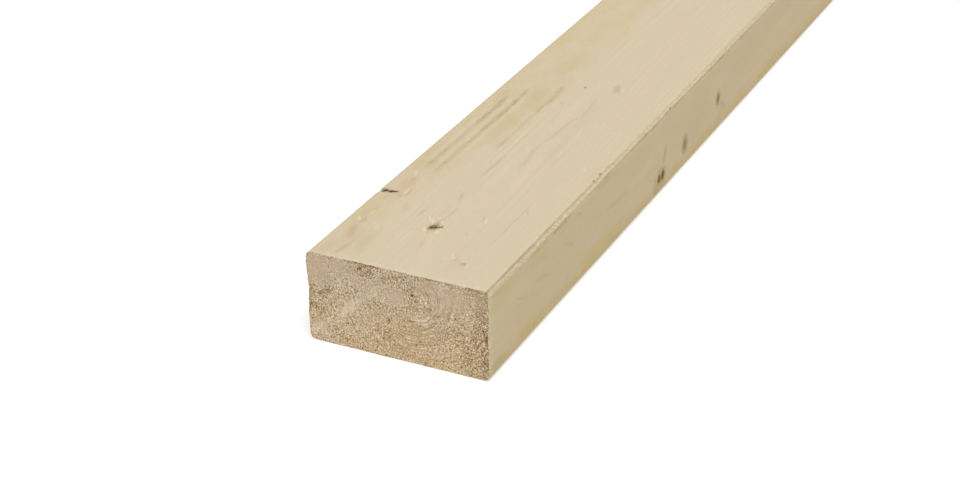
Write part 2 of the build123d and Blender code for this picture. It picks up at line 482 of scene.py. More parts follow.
def thinned(points, wanted_gap, among):
    """Those of the columns in among that leave about the wanted gap between them."""
    kept = [among[0]]
    for column in among[1:]:
        if np.linalg.norm(points[column] - points[kept[-1]]) >= 0.93 * wanted_gap[column]:
            kept.append(column)
    return np.array(kept)


def on_arris(directions):
    """Whether points with these outward directions are on an arris."""
    return np.abs(directions).max(1) < 0.999


def near_gap(points, directions):
    """Gap wanted between the columns of the front part, small at arrises, knots and the split."""
    across, up = points.T
    from_right = across + WIDTH / 2
    down = THICKNESS - up
    gap = np.full(len(points), FACE_STEP)
    gap[(across > SPLIT_REACH - SPLIT_MARGIN) & (up > SPLIT_LOW - SPLIT_MARGIN)] = SPLIT_STEP
    gap[on_arris(directions)] = ARRIS_STEP
    gap[(down < 0.1) & (np.abs(across - TOP_CHECKS[0][1]) < TOP_KNOT_REACH)] = CAP_STEP
    gap[(from_right < 0.1) & (up > EDGE_KNOTS_LOW) & (up < EDGE_KNOTS_HIGH)] = CAP_STEP
    gap[(from_right < FINE_MARGIN) & (down < FINE_MARGIN)] = FINE_STEP
    return gap


def far_gap(directions):
    """Gap wanted between the columns of the rest of the plank."""
    return np.where(on_arris(directions), FAR_ARRIS_STEP, FAR_FACE_STEP)


def graded(rows, distance):
    """Gap wanted between rings at this distance, from one of the spacings named above."""
    least, growth, start, end = rows
    return least + growth * smooth(start, end, distance)


def near_rows():
    """Places along the front part, close together where the split and the knots are."""

    def step_at(along):
        steps = [graded(NEAR_ROWS, along), graded(END_ROWS, along)]
        steps.append(graded(SPLIT_ROWS, np.abs(along - SPLIT_ALONG)))
        steps.extend(graded(CHECK_ROWS, np.abs(along - check[0])) for check in TOP_CHECKS + EDGE_CHECKS)
        return np.min(steps, 0)

    start = RAGGED_ROWS[-1]
    rows = start + spaced(NEAR_LENGTH - start, lambda place: step_at(start + place))
    return rows[1:]


def far_rows():
    """Places along the rest of the plank, closer together towards the far end."""
    stretch = LENGTH - RAGGED_ROWS[-1] - NEAR_LENGTH

    def step_at(place):
        return np.minimum(graded(FAR_ROWS, place), graded(BACK_ROWS, stretch - place))

    return NEAR_LENGTH + spaced(stretch, step_at)[1:]


def check_depth(along, place, check):
    """How far a check runs into the wood at these points of its face."""
    middle_along, middle, long, wide, deep, lean = check
    lean = math.radians(lean)
    lengthwise = (along - middle_along) * math.cos(lean) + (place - middle) * math.sin(lean)
    sideways = (place - middle) * math.cos(lean) - (along - middle_along) * math.sin(lean)
    half_width = wide / 2 * (1 - (2 * lengthwise / long) ** 2)
    share = 1 - np.abs(sideways) / np.maximum(half_width, 0.05)
    return deep * np.clip(share, 0, 1) ** 0.8 * (half_width > 0)


def arris_relief(along, round_it, number, side_starts):
    """How far the torn fibres of one arris lie under its true round, at these places of the sleeve."""
    middle, girth = side_starts[number], side_starts[-1]
    from_middle = (round_it - middle - ARRIS_SHIFT[number] + girth / 2) % girth - girth / 2
    half_strip = ARRIS_RADIUS[number] * math.pi / 4
    amount = ARRIS_TORN[number]
    on_strip = 1 - smooth(half_strip - 0.1, half_strip + 0.9, np.abs(from_middle))
    fibres = rough(along, from_middle, 3.4, 0.55, 10 + number)
    splinters = rough(along, from_middle, 1.4, 0.4, 20 + number)
    by_edge = np.abs(np.abs(from_middle) - half_strip)
    broken = smooth(-0.3, 0.5, rough(along, from_middle, 16.0, 9.0, 30 + number))
    groove = (1 - smooth(0.1, 0.55, by_edge)) * broken
    return amount * (on_strip * (0.5 + 0.3 * fibres + 0.2 * splinters) + 0.9 * groove)


def into_split(along, across, up):
    """Share of the way into the split, and the place at its bottom, for points of the surface."""
    start = np.array([WIDTH / 2, SPLIT_LOW])
    end = np.array([SPLIT_REACH, THICKNESS])
    way = end - start
    share = ((across - start[0]) * way[0] + (up - start[1]) * way[1]) / (way @ way)
    inside = (share > 0) & (share < 1) & (across > 0)
    share = np.clip(share, 0, 1)
    opening = smooth(0, 0.45, share) * (1 - smooth(0.45, 1, share)) ** 0.5
    ragged = 1 + 0.25 * rough(share, along * 0, 0.09, 1.0, 40)
    bridge = 1 - 0.95 * np.exp(-((across - SPLIT_BRIDGE) / 1.0) ** 2)
    half_width = np.maximum(SPLIT_HALF_WIDTH * opening * ragged * bridge, 0.02)
    centre = SPLIT_ALONG + SPLIT_DRIFT * share + 0.35 * rough(share, along * 0, 0.14, 1.0, 41)
    depth = np.clip(1 - np.abs(along - centre) / half_width, 0, 1) ** 0.55
    bottom = start + share[..., None] * way
    return depth * inside, bottom


class Sleeve:
    """The four long sides of the plank, as rings of points."""

    def __init__(self):
        self.points, self.directions, self.round_it = ring()
        lengths = [Side(number).length for number in range(4)]
        self.side_starts = np.concatenate([[0], np.cumsum(lengths)])

    def rings(self, along, columns):
        """Points of the rings at these places along, and how deep in a crack each point is."""
        along = np.asarray(along, float)[:, None]
        across, up = self.points[columns].T
        outward = self.directions[columns]
        round_it = self.round_it[columns]
        inward = 0.03 * (1 + rough(along, round_it, 70.0, 19.0, 50))
        for number in range(4):
            inward = inward + arris_relief(along, round_it, number, self.side_starts)
        from_end = np.minimum(along, LENGTH - along)
        ragged = 0.5 + 0.5 * rough(along * 0.3, round_it, 0.5, 0.8, 60)
        inward = inward + END_RAGGED * ragged ** 2 * np.exp(-from_end / 0.7)
        crack = np.zeros(inward.shape)
        on_top = outward[:, 1] > 0.99
        on_edge = outward[:, 0] < -0.99
        for checks, place, face in ((TOP_CHECKS, across, on_top), (EDGE_CHECKS, up, on_edge)):
            for check in checks:
                depth = check_depth(along, place, check) * face
                inward = inward + depth
                crack = np.maximum(crack, depth / check[4])
        flat = np.stack([across - outward[:, 0] * inward, up - outward[:, 1] * inward], -1)
        depth, bottom = into_split(along, across + 0 * along, up + 0 * along)
        flat = flat * (1 - depth[..., None]) + bottom * depth[..., None]
        crack = np.maximum(crack, depth)
        x = np.broadcast_to(along, crack.shape)[..., None]
        return np.concatenate([x, flat], -1), crack


def end_relief(across, up, seed):
    """How deep the sawn end grain lies under the end's plane, and how torn it is, from 0 to 1."""
    grains = rough(across, up, 0.75, 0.75, seed)
    clumps = rough(across, up, 1.9, 1.9, seed + 1)
    hills = rough(across, up, 9.0, 7.0, seed + 2)
    by_rim = smooth(6.0, 0.0, np.minimum(WIDTH / 2 - np.abs(across), np.minimum(up, THICKNESS - up)))
    fur = 1 + 0.5 * by_rim
    depth = 0.3 + fur * (0.15 * grains + 0.04 * clumps) + 0.05 * hills
    torn = np.zeros(depth.shape)
    for pit_across, pit_up, radius, deep in END_PITS:
        reach = np.hypot(across - pit_across, up - pit_up) * (1 + 0.35 * grains) / radius
        share = (1 - smooth(0.2, 1.0, reach)) * (0.75 + 0.25 * clumps)
        depth = depth + deep * share
        torn = np.maximum(torn, share * min(deep, 0.8))
    return depth, torn


def chipped(points):
    """The points, with those near a chip of the front end's rim moved inwards."""
    points = points.copy()
    for across, up, reach, deep in END_CHIPS:
        away = np.hypot(points[..., 1] - across, points[..., 2] - up) / reach
        share = np.exp(-away ** 2 - points[..., 0] / 3.0)
        points[..., 1] -= math.copysign(deep, across) * share
    return points


class Shell:
    """Points, faces, map places and crack depths of a mesh that is put together piece by piece."""

    def __init__(self):
        self.points, self.cracks, self.faces, self.places, self.slots = [], [], [], [], []
        self.count = 0

    def add_points(self, points, cracks):
        """Takes an array of points and returns their numbers, in the same layout."""
        numbers = self.count + np.arange(cracks.size).reshape(cracks.shape)
        self.points.append(chipped(points).reshape(-1, 3))
        self.cracks.append(cracks.ravel())
        self.count += cracks.size
        return numbers

    def add_faces(self, corners, places, slot):
        """Takes faces as rows of point numbers, with the place of each corner on the map."""
        self.faces.extend(corners.tolist())
        self.places.append(places.reshape(-1, 2))
        self.slots.append(np.full(len(corners), slot))

    def add_grid(self, numbers, places, slot, flip=False):
        """Quads between the neighbours of a grid of points."""
        picks = ((0, 0), (1, 0), (1, 1), (0, 1))
        if flip:
            picks = picks[::-1]
        rows, columns = numbers.shape
        corners = [numbers[i : rows - 1 + i, j : columns - 1 + j].ravel() for i, j in picks]
        spots = [places[i : rows - 1 + i, j : columns - 1 + j].reshape(-1, 2) for i, j in picks]
        self.add_faces(np.stack(corners, 1), np.stack(spots, 1), slot)

    def add_fans(self, fine, coarse, picked, flip):
        """Triangles between a ring and a thinner ring, whose points are those picked of the first."""
        corners, spots = [], []

        def triangle(*three):
            three = three[::-1] if flip else three
            corners.append([(fine, coarse)[which][0][at] for which, at in three])
            spots.append([(fine, coarse)[which][1][at] for which, at in three])

        for at, (first, last) in enumerate(zip(picked[:-1], picked[1:])):
            middle = (first + last) // 2
            for k in range(first, last):
                triangle((0, k), (0, k + 1), (1, at if k < middle else at + 1))
            triangle((0, middle), (1, at + 1), (1, at))
        self.add_faces(np.array(corners), np.array(spots), LONG_SIDES)

    def make(self, name):
        """The mesh, in metres and in the frame of the CAD."""
        points = np.concatenate(self.points)
        points[:, 0] += SAWN_END
        mesh = bpy.data.meshes.new(name)
        mesh.from_pydata((points * MM).tolist(), [], self.faces)
        layer = mesh.uv_layers.new(name="OFBake")
        layer.uv.foreach_set("vector", np.concatenate(self.places).astype(np.float32).ravel())
        mesh.polygons.foreach_set("material_index", np.concatenate(self.slots).astype(np.int32))
        crack = mesh.attributes.new("crack", "FLOAT", "POINT")
        crack.data.foreach_set("value", np.concatenate(self.cracks).astype(np.float32))
        mesh.shade_smooth()
        self.sharpen(mesh)
        return mesh

    def sharpen(self, mesh):
        """Keeps the edges sharp where an end meets the long sides."""
        edge_of_corner = np.empty(len(mesh.loops), np.int32)
        mesh.loops.foreach_get("edge_index", edge_of_corner)
        slot_of_corner = np.repeat(np.concatenate(self.slots), [len(face) for face in self.faces])
        meets = np.zeros((len(mesh.edges), 2), bool)
        meets[edge_of_corner, slot_of_corner] = True
        sharp = mesh.attributes.new("sharp_edge", "BOOLEAN", "EDGE")
        sharp.data.foreach_set("value", meets.all(1))


def closed(numbers):
    """A ring's numbers, or rings', with the first repeated at the end."""
    return np.concatenate([numbers, numbers[..., :1]], -1)


def build_plank():
    """The whole plank as one closed mesh: two sawn ends and the sleeve of its four long sides."""
    shell, sleeve = Shell(), Sleeve()
    grid = end_grid()
    every = np.arange(len(sleeve.points))
    near = thinned(sleeve.points, near_gap(sleeve.points, sleeve.directions), every)
    far = thinned(sleeve.points, far_gap(sleeve.directions), near)
    girth = np.append(sleeve.round_it, sleeve.side_starts[-1])
    rim = grid_rim(*grid.shape[:2])

    def end(at_far_end, map_low):
        """Adds a sawn end and returns the numbers of its rim."""
        depth, torn = end_relief(grid[..., 0], grid[..., 1], 80 + 10 * at_far_end)
        along = LENGTH - depth if at_far_end else depth
        points = np.concatenate([along[..., None], grid], -1)
        edge, _ = sleeve.rings([LENGTH if at_far_end else 0], every)
        points.reshape(-1, 3)[rim, 1:] = edge[0, :, 1:]
        numbers = shell.add_points(points, torn)
        places = np.stack([grid[..., 1], grid[..., 0] + WIDTH / 2], -1) * MAP_END_SCALE
        shell.add_grid(numbers, places + (MAP_END_LEFT, map_low), ENDS, flip=at_far_end)
        return numbers.ravel()[rim]

    def on_map(along, columns, strip):
        """Places on the map of rings with these columns, column by column."""
        start, stop, left, wide = strip
        over = left + np.append(girth[columns], girth[-1]) / girth[-1] * wide
        up = MAP_EDGE + (np.atleast_1d(along) - start) / (stop - start) * (1 - 2 * MAP_EDGE)
        return np.stack(np.broadcast_arrays(over[:, None], up), -1)

    def add_band(rings, along, columns, strip):
        """Faces between rings that have the same columns."""
        shell.add_grid(closed(rings).T, on_map(along, columns, strip), LONG_SIDES)

    def join(fine, coarse, strip, flip=False):
        """Faces between two rings, each given by its numbers, its place along and its columns."""
        picked = np.append(np.searchsorted(fine[2], coarse[2]), len(fine[2]))
        rings = [
            (closed(numbers), on_map(along, columns, strip)[:, 0])
            for numbers, along, columns in (fine, coarse)
        ]
        shell.add_fans(*rings, picked, flip)

    front = end(False, MAP_EDGE)
    back = end(True, MAP_BACK_LOW)

    # Rings with every column, next to each end
    ragged = np.array(RAGGED_ROWS)
    front_rings = np.vstack([front, shell.add_points(*sleeve.rings(ragged[1:], every))])
    back_at = LENGTH - ragged[::-1]
    back_rings = np.vstack([shell.add_points(*sleeve.rings(back_at[:-1], every)), back])
    add_band(front_rings, ragged, every, MAP_NEAR)
    add_band(back_rings, back_at, every, MAP_FAR)

    # The front part, and the rest with few columns
    near_at = near_rows()
    far_at = far_rows()[:-1]
    near_rings = shell.add_points(*sleeve.rings(near_at, near))
    far_rings = shell.add_points(*sleeve.rings(far_at, far))
    add_band(near_rings, near_at, near, MAP_NEAR)
    add_band(far_rings, far_at, far, MAP_FAR)

    join((front_rings[-1], ragged[-1], every), (near_rings[0], near_at[0], near), MAP_NEAR)
    join((near_rings[-1], near_at[-1], near), (far_rings[0], far_at[0], far), MAP_FAR)
    join((back_rings[0], back_at[0], every), (far_rings[-1], far_at[-1], far), MAP_FAR, flip=True)
    return shell


def add_plank():
    """The plank's object, which stands for the CAD node."""
    plank = bpy.data.objects.new("plank_wood", build_plank().make("plank_wood"))
    bpy.context.collection.objects.link(plank)
    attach(plank, "root")
    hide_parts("plank")
    return plank


def arithmetic(operation, swapped=False):
    """The method of a field that adds a node for one arithmetic sign."""

    def method(self, other):
        values = (other, self) if swapped else (self, other)
        return self.tree.math(operation, *values)

    return method


class Field:
    """A number, place or colour that varies over the surface; sums and products of it add nodes."""

    def __init__(self, tree, socket):
        self.tree = tree
        self.socket = socket

    __add__ = arithmetic("ADD")
    __radd__ = arithmetic("ADD", swapped=True)
    __sub__ = arithmetic("SUBTRACT")
    __rsub__ = arithmetic("SUBTRACT", swapped=True)
    __mul__ = arithmetic("MULTIPLY")
    __rmul__ = arithmetic("MULTIPLY", swapped=True)
    __truediv__ = arithmetic("DIVIDE")

    def __abs__(self):
        return self.tree.math("ABSOLUTE", self)


class Tree:
    """The nodes of a material or of the world."""

    def __init__(self, owner):
        owner.use_nodes = True
        self.nodes = owner.node_tree.nodes
        self.links = owner.node_tree.links

    def join(self, value, socket):
        """Links a field to the socket, or sets a plain value on it."""
        if isinstance(value, Field):
            self.links.new(value.socket, socket)
        else:
            socket.default_value = value

    def node(self, kind, inputs=(), output=0, **settings):
        """One output of a new node; inputs pairs a number or name with a field or plain value."""
        node = self.nodes.new("ShaderNode" + kind)
        for name, value in settings.items():
            setattr(node, name, value)
        for name, value in dict(inputs).items():
            self.join(value, node.inputs[name])
        return Field(self, node.outputs[output])

    def math(self, operation, *values):
        return self.node("Math", enumerate(values), operation=operation)


class Web(Tree):
    """The nodes of one kind of wood, with places in millimetres from the sawn end."""

    def __init__(self, name):
        self.material = bpy.data.materials.new(name)
        super().__init__(self.material)
        self.shader = self.nodes["Principled BSDF"]
        self.colour = None
        here = self.node("TexCoord", output="Object")
        self.place = self.mapped(here, (SAWN_END * MM, 0, 0), (0, 0, 0), (MM, MM, MM))
        parts = self.node("SeparateXYZ", {0: self.place}).socket.node.outputs
        self.along, self.across, self.up = (Field(self, socket) for socket in parts)

    def vector_math(self, operation, output, *values):
        return self.node("VectorMath", enumerate(values), output, operation=operation)

    def vector(self, *parts):
        return self.node("CombineXYZ", enumerate(parts))

    def step(self, low_edge, high_edge, value, top=1.0):
        """A smooth step from 0 at low_edge to top at high_edge, which may be the lower of the two."""
        inputs = {"Value": value, "From Min": low_edge, "From Max": high_edge, "To Max": top}
        return self.node("MapRange", inputs, "Result", interpolation_type="SMOOTHSTEP")

    def mapped(self, place, origin, turn, size):
        """The place seen from an origin, in axes that are turned and in units of this size."""
        inputs = {"Vector": place, "Location": origin, "Rotation": turn, "Scale": size}
        return self.node("Mapping", inputs, vector_type="TEXTURE")

    def noise(self, size, detail=2.0, roughness=0.5, seed=0, place=None):
        """Smooth random values about 0, with bumps of this size along, across and up."""
        origin = (31.0 * seed * size[0], 31.0 * seed * size[1], 0)
        own_place = self.mapped(place or self.place, origin, (0, 0, 0), size)
        inputs = {"Vector": own_place, "Scale": 1.0, "Detail": detail, "Roughness": roughness}
        return self.math("MULTIPLY_ADD", self.node("TexNoise", inputs, "Fac"), 2.0, -1.0)

    def cells(self, size):
        """Rounded grains of this size, from about 0.5 in their middles to below 0 between them."""
        own_place = self.mapped(self.place, (0, 0, 0), (0, 0, 0), (size, size, size))
        return 0.5 - self.node("TexVoronoi", {"Vector": own_place, "Scale": 1.0}, "Distance")

    def mix(self, share, *colours, **settings):
        """The first of two colours where the share is 0, and the second where it is 1."""
        first, second = (paint if isinstance(paint, Field) else (*paint, 1) for paint in colours)
        inputs = {0: share, 6: first, 7: second}
        return self.node("Mix", inputs, 2, data_type="RGBA", **settings)

    def scaled(self, colour, *shares):
        """The colour with its red, green and blue multiplied by these three."""
        tint = self.node("CombineColor", enumerate(shares))
        return self.mix(1.0, colour, tint, blend_type="MULTIPLY")

    def lay(self, share, paint):
        """Lays a colour over the wood's own, as far as the share says."""
        self.colour = self.mix(share, self.colour, paint)

    def lighter(self, colour, amount):
        """The colour, lighter by this share of itself, or darker where the amount is below 0."""
        share = 1 + amount
        return self.scaled(colour, share, share, share)

    def largest(self, fields):
        """The largest of some fields."""
        return functools.reduce(lambda first, second: self.math("MAXIMUM", first, second), fields)

    def marks(self, place, listed):
        """Strength of soft-edged oval marks; a place on a face is (along, across, 1)."""

        def mark(along, spot, half_long, half_wide, most, lean=0):
            cosine, sine = math.cos(math.radians(lean)), math.sin(math.radians(lean))
            lengthwise = [part / half_long for part in (cosine, sine, -along * cosine - spot * sine)]
            sideways = [part / half_wide for part in (-sine, cosine, along * sine - spot * cosine)]
            u = self.vector_math("DOT_PRODUCT", "Value", place, lengthwise)
            v = self.vector_math("DOT_PRODUCT", "Value", place, sideways)
            reach = self.vector_math("LENGTH", "Value", self.vector(u, v, 0.0))
            return self.step(1.0, 0.25, reach, most)

        return self.largest(mark(*sizes) for sizes in listed)

    def ribbons(self, across, teeth, listed):
        """Strength of long bands that run along a face and are broken up by the teeth."""

        def ribbon(start, stop, middle, half_width, most):
            away = abs(across - middle)
            band = self.step(half_width + 0.9, 0.2 * half_width, away - 0.5 * teeth, most)
            band = band * self.step(start, start + 16.0, self.along)
            return band * self.step(stop, stop - 10.0, self.along)

        return self.largest(ribbon(*sizes) for sizes in listed) * (0.7 + 0.9 * teeth)

    def crack(self):
        """How deep in a crack or pit a point of the mesh is, from 0 to 1."""
        return self.node("Attribute", output="Fac", attribute_name="crack")

    def finish(self, roughness, height):
        """Joins the colour, the roughness and a relief in millimetres to the shader."""
        bump = self.node("Bump", {"Distance": MM, "Height": height})
        for name, value in {"Base Color": self.colour, "Roughness": roughness, "Normal": bump}.items():
            self.join(value, self.shader.inputs[name])
        return self.material


def growth(web):
    """Distance from the pith, and how dark the latewood is there, from 0 to 1."""
    turn = web.along / 380.0
    wander = web.noise((140, 16, 16), 2, seed=1)
    across = web.across - PITH_ACROSS - 5.0 * web.math("SINE", turn)
    up = web.up - PITH_UP + 3.0 * web.math("SINE", turn * 1.7)
    radius = web.math("SQRT", across * across + up * up) + 1.6 * wander
    rings = radius / RING_WIDTH
    number = web.math("FLOOR", rings)
    share = web.math("FRACT", rings)
    dark = web.step(0.35, 0.85, share) * web.step(1.0, 0.93, share)
    chance = web.node("TexWhiteNoise", {"W": number}, "Value", noise_dimensions="1D")
    return radius, dark * (0.25 + 0.75 * chance)


def planed_softwood():
    """The four planed sides, pale on the wide faces and warmer on the narrow edges."""
    web = Web("planed_softwood")
    crack = web.crack()
    radius, latewood = growth(web)

    # Which side a point is on: the level is measured from the middle of the thickness
    from_right = WIDTH / 2 + web.across
    level = abs(web.up - THICKNESS / 2)
    beside = abs(web.across)
    on_edge = web.step(-1.2, 1.2, (beside - WIDTH / 2) - (level - THICKNESS / 2))

    # Long fibres, patches of tone, and the grain lines
    fibres = web.noise((20, 0.9, 0.9), 2, 0.6, seed=2)
    hairs = web.noise((7, 0.4, 0.4), 1, 0.6, seed=3)
    slanting = web.mapped(web.place, (0, 0, 0), FIGURE_LEAN, (1, 1, 1))
    figure = web.noise((9.0, 1.6, 1.6), 2, 0.6, seed=15, place=slanting)
    teeth = web.noise((3.0, 1.1, 1.1), 1, 0.6, seed=19, place=slanting)
    ripple = web.noise((2.6, 0.9, 0.9), 1, 0.5, seed=16)
    green = web.noise((13, 8, 8), 1, 0.5, seed=17)
    tone = web.noise((70, 14, 14), 2, seed=4)
    hue = web.noise((40, 7, 7), 2, seed=5)
    sway = 1.6 * web.noise((16, 9, 9), 2, seed=6)
    top = (1 - on_edge) * web.step(-5.0, 5.0, web.up - THICKNESS / 2)
    right = on_edge * web.step(5.0, -5.0, web.across)
    frayed = web.along + 1.5 * ripple
    sway = sway + 0.6 * ripple
    top_place = web.vector(frayed, web.across + sway, 1.0)
    right_place = web.vector(frayed, web.up + sway, 1.0)

    web.colour = web.mix(on_edge, WIDE_FACE, NARROW_EDGE)
    web.lay(web.step(0.0, 0.6, hue, 0.35), WARM_TONE)
    web.lay(latewood * web.step(-0.3, 0.5, tone, 0.22), LATEWOOD)

    widening = web.step(50.0, 170.0, web.along, 18.0)
    left_band = web.step(24.0, 38.0, web.across + widening + 4.0 * tone + 5.0 * green) * top
    web.lay(left_band * (0.45 + 0.5 * green), YELLOWED)
    web.lay(0.8 * top * web.marks(top_place, TOP_PINK), PINKISH)
    web.lay(0.8 * top * web.marks(top_place, TOP_GREEN), GREENISH)
    web.lay(0.8 * right * web.marks(right_place, EDGE_PINK), EDGE_WARM)
    web.lay(0.8 * right * web.marks(right_place, EDGE_GREEN), STAIN_GREEN)
    swayed = web.across + 0.6 * sway
    web.lay(top * web.ribbons(swayed, teeth, PALE_RIBBONS), PALE_FIBRE)
    torn_lines = web.marks(top_place, TOP_LINES) * (0.65 + 0.5 * ripple + 0.5 * teeth)
    torn_lines = top * (torn_lines + web.ribbons(swayed, teeth, DARK_RIBBONS))
    web.lay(torn_lines, GRAIN_LINE)
    web.lay(top * web.marks(top_place, TOP_FLECKS) * (1.3 + 0.9 * ripple), PALE_FIBRE)
    # Dark grain lines on the right edge, with a band of painted shade under the upper right arris
    web.lay(right * web.marks(right_place, EDGE_LINES_AND_SHADE), EDGE_LINE_AND_SHADE)

    # The lowest part of the right edge is stained yellow-green and orange in patches
    stain_tone = web.noise((9, 5, 5), 1, seed=7)
    stained = web.step(10.0, 1.5, web.up + 9.0 * green + 3.0 * ripple) * on_edge
    stain = web.mix(web.step(-0.2, 0.4, stain_tone), STAIN_GREEN, STAIN_ORANGE)
    web.lay(stained * (0.68 + 0.7 * stain_tone), stain)
    light = 1 + 0.017 * fibres + 0.016 * hairs + 0.04 * figure + 0.012 * ripple + 0.055 * tone
    web.colour = web.scaled(web.colour, light + 0.025 * hue, light, light + 0.03 * hue - 0.03 * green)

    # Frayed fibres that stand out along the rims of the ends
    from_end = web.math("MINIMUM", web.along, LENGTH - web.along)
    tufts = web.noise((1.1, 1.1, 1.1), 1, seed=18)
    fringe = web.step(4.4, 0.8, from_end + 2.0 * ripple) * web.step(-0.1, 0.3, tufts)
    web.lay(0.8 * fringe, PALE_FIBRE)

    # Torn fibres of the upper right arris, with a broken dark line along each side
    strip, border, flecks = arris_strip(web)
    splinters = web.noise((2.2, 0.7, 0.7), 3, 0.7, seed=8)
    torn = web.mix(web.step(-0.35, 0.3, splinters), ARRIS_DARK, ARRIS_LIGHT)
    # Painted light: the strip's lower part, which faces the edge and gets less light, is made up to a third
    # lighter
    painted_light_low = web.step(0.6, -2.4, web.across + web.up + WIDTH / 2 - THICKNESS, 0.32)
    torn = web.lighter(torn, painted_light_low - 0.06 - web.step(90.0, 30.0, web.along, 0.12))
    web.lay(flecks * 0.5, PALE_FIBRE)
    web.lay(strip * 0.9, torn)
    web.lay(border, ARRIS_LINE)

    # Plain knots with growth rings of their own, past the stretch that the photograph shows
    knots_seen = (
        (top, top_place, TOP_KNOTS),
        (1 - on_edge - top, top_place, BOTTOM_KNOTS),
        (right, right_place, RIGHT_KNOTS),
        (on_edge - right, right_place, LEFT_KNOTS),
    )
    knots = web.largest(side * web.marks(place, listed) for side, place, listed in knots_seen)
    knot_rings = web.math("SINE", KNOT_RINGS * (knots + 0.02 * ripple))
    web.lay(web.step(0.02, 0.5, knots, 0.4), KNOT_HALO)
    web.lay(web.step(0.42, 0.56, knots, 0.85), KNOT_WOOD)
    darkness = 0.34 * knots - 0.05 + 0.16 * knot_rings
    web.lay(web.step(0.42, 0.56, knots) * darkness, KNOT_HEART)

    # Small knots of the photograph, and the dark insides of the cracks, dark wood with painted shade that
    # grows with their depth
    shaken = 2.6 * web.noise((1.3, 1.3, 1.3), 2, 0.6, seed=9)
    shaken_too = 2.6 * web.noise((1.3, 1.3, 1.3), 2, 0.6, seed=12)
    top_place = web.vector(web.along + shaken, web.across + shaken_too, 1.0)
    right_place = web.vector(web.along + shaken, web.up + shaken_too, 1.0)
    web.lay(top * web.marks(top_place, TOP_HALOS), KNOT_HALO)
    web.lay(right * web.marks(right_place, EDGE_HALOS), KNOT_HALO)
    web.lay(top * web.marks(top_place, TOP_HEARTS), KNOT_HEART)
    web.lay(right * web.marks(right_place, EDGE_HEARTS), KNOT_HEART)
    web.lay(web.step(0.05, 0.4, crack), CRACK_DARK_AND_SHADE)

    roughness = 0.58 + 0.08 * fibres + 0.1 * strip
    height = 0.02 * fibres + 0.015 * hairs + 0.12 * strip * splinters
    return web.finish(roughness, height)


def arris_strip(web):
    """How far a point is on the strip of torn fibres of the upper right arris, on the dark lines
    and bites along it, and on the pale flecks beside it.

    The place on the arris is measured by its lean, which falls from the top face to the edge.
    """
    inward = web.across + WIDTH / 2
    down = THICKNESS - web.up
    lean = inward - down
    near = web.step(7.0, 6.0, inward + down)
    fray = 0.5 * web.noise((3.5, 2, 2), 3, 0.6, seed=10)
    broken = web.noise((16, 30, 30), 3, 0.7, seed=11)
    above_low = lean + fray - STRIP_LOW - web.step(60.0, 150.0, web.along, STRIP_LOW_RISE)
    strip = web.step(STRIP_HIGH + 0.4, STRIP_HIGH - 0.4, lean + 0.5 * fray) * web.step(-0.5, 0.5, above_low)
    fading = web.step(200.0, 30.0, web.along)
    upper_line = web.step(1.15, 0.25, abs(lean - ARRIS_LINE_LEAN + 0.6 * fray))
    upper_line = upper_line * (0.08 + fading * web.step(-0.6, 0.3, broken, 0.62))
    lower_line = web.step(1.4, 0.1, abs(above_low + 1.1))
    lower_line = lower_line * web.step(0.15, -0.35, broken, 0.6)
    bites = web.marks(web.vector(web.along, lean + fray, 1.0), ARRIS_BITES)
    lines = web.math("MAXIMUM", upper_line, lower_line)
    flecks = web.step(1.8, 0.4, abs(lean - STRIP_HIGH - 1.9)) * web.step(0.05, 0.3, fray)
    return strip * near, web.math("MAXIMUM", lines, bites) * near, flecks * near


